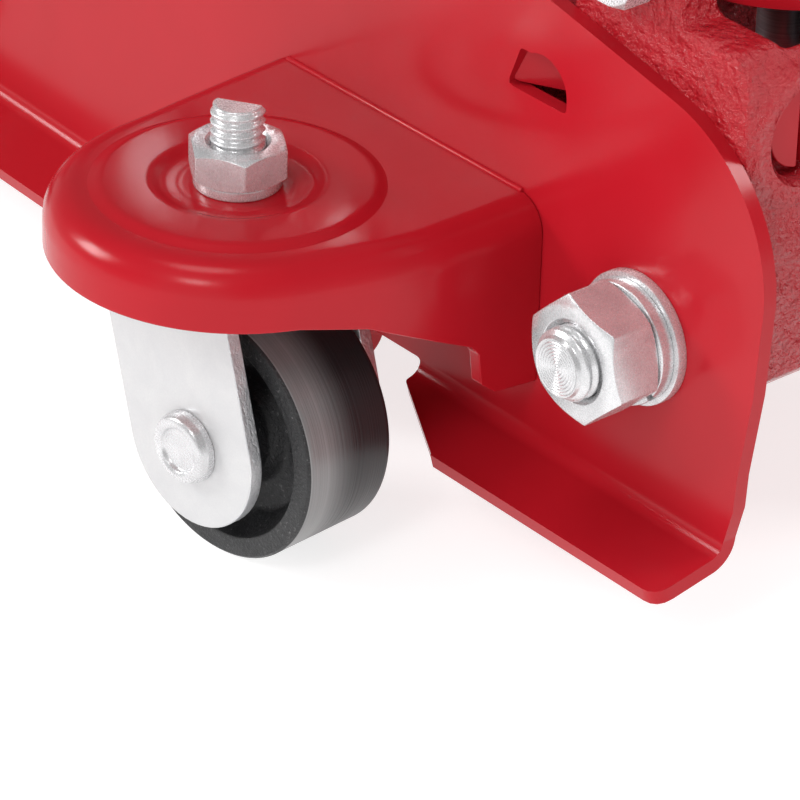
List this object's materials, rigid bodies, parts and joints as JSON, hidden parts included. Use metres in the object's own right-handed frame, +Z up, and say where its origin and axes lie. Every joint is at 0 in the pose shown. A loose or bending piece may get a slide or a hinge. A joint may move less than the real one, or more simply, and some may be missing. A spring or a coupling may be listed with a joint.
{
  "type": "car jack",
  "caption": "Low hydraulic trolley jack with swivel rear casters, front rollers, a lift arm carrying a level saddle, and an upright pump handle in a socket.",
  "frame": {"origin": "on the ground, midway along the side plates and midway between them", "axes": "+X towards the saddle, +Y to the jack's left, +Z up"},
  "size_m": [0.427, 0.2342, 0.764],
  "materials": {
    "red_paint": "gloss red powder coat",
    "red_casting": "gloss red paint over rough sand-cast iron",
    "red_plug": "gloss red paint over a turned plug",
    "red_tube": "gloss red paint on drawn tube",
    "zinc": "bright zinc plating",
    "zinc_sheet": "bright zinc-plated sheet",
    "black_wheel": "black paint over cast iron, tread turned smooth",
    "steel": "turned steel, oiled",
    "ground_steel": "hard-chromed and ground",
    "spring_steel": "drawn spring wire",
    "black_iron": "black painted casting",
    "black_plastic": "moulded",
    "rubber": "ribbed grip"
  },
  "bodies": {
    "chassis": {"side_plate_left": "red_paint", "side_plate_right": "red_paint", "caster_bracket_left": "red_paint", "caster_bracket_right": "red_paint", "caster_stem_left": "zinc", "caster_stem_right": "zinc", "stem_nuts": "zinc", "stem_spring_washers": "zinc", "ball_race_left": "steel", "ball_race_right": "steel", "power_unit_studs": "zinc", "stud_nuts": "zinc", "stud_spring_washers": "zinc", "stud_flat_washers": "zinc", "power_unit_casting": "red_casting", "valve_plug": "red_plug", "filler_plug": "black_plastic", "reservoir_tube": "red_paint", "cylinder_end_nut": "red_paint", "plunger_spring": "spring_steel", "socket_bolts": "zinc", "arm_shaft": "steel", "shaft_clips": "steel", "rod_rear_pins": "steel", "return_springs": "spring_steel", "front_axle": "steel", "axle_nuts": "zinc", "tie_rods": "steel", "tie_rod_nuts": "zinc", "cover_plate": "red_paint", "cover_screws": "zinc"},
    "caster_left": {"fork_left": "zinc_sheet", "axle_rivet_left": "zinc_sheet"},
    "caster_right": {"fork_right": "zinc_sheet", "axle_rivet_right": "zinc_sheet"},
    "wheel_left": {"caster_wheel_left": "black_wheel"},
    "wheel_right": {"caster_wheel_right": "black_wheel"},
    "front_wheel_left": {"front_roller_left": "black_wheel"},
    "front_wheel_right": {"front_roller_right": "black_wheel"},
    "arm": {"lift_arm": "red_paint", "cross_pin": "steel", "saddle_pin": "steel"},
    "saddle_carrier": {"saddle_bracket": "red_paint", "rod_front_pin": "steel"},
    "saddle_cup": {"saddle": "black_iron", "saddle_clip": "steel"},
    "left_rod": {"rod_left": "steel"},
    "right_rod": {"rod_right": "steel"},
    "ram_body": {"ram": "ground_steel", "ram_head": "steel"},
    "socket": {"handle_socket": "red_paint", "roller_pin": "steel"},
    "roller": {"pump_roller": "steel"},
    "plunger": {"pump_plunger": "ground_steel"},
    "handle": {"handle_lower": "red_tube", "handle_upper": "red_tube", "grip": "rubber", "valve_cup": "steel"},
    "button": {"snap_button": "steel"},
    "valve": {"release_valve": "steel"}
  },
  "joints": [
    {"name": "caster_swivel_left", "type": "hinge", "parent": "chassis", "child": "caster_left", "pos_m": [-0.1161, 0.0815, 0.06], "axis": [0, 0, 1], "continuous": true},
    {"name": "wheel_roll_left", "type": "hinge", "parent": "caster_left", "child": "wheel_left", "pos_m": [-0.12208, 0.08102, 0.025], "axis": [-0.0802, 0.9968, 0], "continuous": true},
    {"name": "front_roll_left", "type": "hinge", "parent": "chassis", "child": "front_wheel_left", "pos_m": [0.17835, 0.059, 0.03], "axis": [0, 1, 0], "continuous": true},
    {"name": "caster_swivel_right", "type": "hinge", "parent": "chassis", "child": "caster_right", "pos_m": [-0.1161, -0.0815, 0.06], "axis": [0, 0, 1], "continuous": true},
    {"name": "wheel_roll_right", "type": "hinge", "parent": "caster_right", "child": "wheel_right", "pos_m": [-0.12208, -0.08102, 0.025], "axis": [0.0802, 0.9968, 0], "continuous": true},
    {"name": "front_roll_right", "type": "hinge", "parent": "chassis", "child": "front_wheel_right", "pos_m": [0.17835, -0.059, 0.03], "axis": [0, 1, 0], "continuous": true},
    {"name": "arm_lift", "type": "hinge", "parent": "chassis", "child": "arm", "pos_m": [-0.0465, 0, 0.108], "axis": [0, -1, 0], "range_deg": [0, 60]},
    {"name": "saddle_level", "type": "hinge", "parent": "arm", "child": "saddle_carrier", "pos_m": [0.17035, 0, 0.0774], "axis": [0, -1, 0], "range_deg": [-60, 0]},
    {"name": "saddle_turn", "type": "hinge", "parent": "saddle_carrier", "child": "saddle_cup", "pos_m": [0.17035, 0, 0.11], "axis": [0, 0, 1], "continuous": true},
    {"name": "rod_swing_left", "type": "hinge", "parent": "chassis", "child": "left_rod", "pos_m": [-0.0325, 0.0345, 0.082], "axis": [0, -1, 0], "range_deg": [0, 60]},
    {"name": "rod_swing_right", "type": "hinge", "parent": "chassis", "child": "right_rod", "pos_m": [-0.0325, -0.0345, 0.082], "axis": [0, -1, 0], "range_deg": [0, 60]},
    {"name": "ram_stroke", "type": "slide", "parent": "chassis", "child": "ram_body", "axis": [1, 0, 0], "range_m": [0, 0.0441]},
    {"name": "handle_pump", "type": "hinge", "parent": "chassis", "child": "socket", "pos_m": [-0.1721, 0, 0.128], "axis": [0, -1, 0], "range_deg": [0, 40], "stiffness_Nm_per_rad": 12},
    {"name": "roller_spin", "type": "hinge", "parent": "socket", "child": "roller", "pos_m": [-0.1961, 0, 0.12], "axis": [0, 1, 0], "continuous": true},
    {"name": "plunger_stroke", "type": "slide", "parent": "chassis", "child": "plunger", "axis": [0, 0, -1], "range_m": [0, 0.0136], "deforming": ["plunger_spring"]},
    {"name": "handle_twist", "type": "hinge", "parent": "socket", "child": "handle", "pos_m": [-0.1721, 0, 0.128], "axis": [0, 0, 1], "range_deg": [0, 180]},
    {"name": "button_press", "type": "slide", "parent": "handle", "child": "button", "axis": [1, 0, 0], "range_m": [0, 0.0018], "stiffness_N_per_m": 800},
    {"name": "valve_turn", "type": "hinge", "parent": "chassis", "child": "valve", "pos_m": [-0.1721, 0, 0.128], "axis": [0, 0, 1], "range_deg": [0, 180]}
  ],
  "couplings": [
    {"joint": "saddle_level", "follows": "arm_lift", "ratio": -1},
    {"joint": "rod_swing_left", "follows": "arm_lift", "ratio": 1},
    {"joint": "rod_swing_right", "follows": "arm_lift", "ratio": 1},
    {"joint": "ram_stroke", "follows": "arm_lift", "m_per_rad": 0.042017},
    {"joint": "plunger_stroke", "follows": "handle_pump", "m_per_rad": 0.019337},
    {"joint": "valve_turn", "follows": "handle_twist", "ratio": 1}
  ]
}
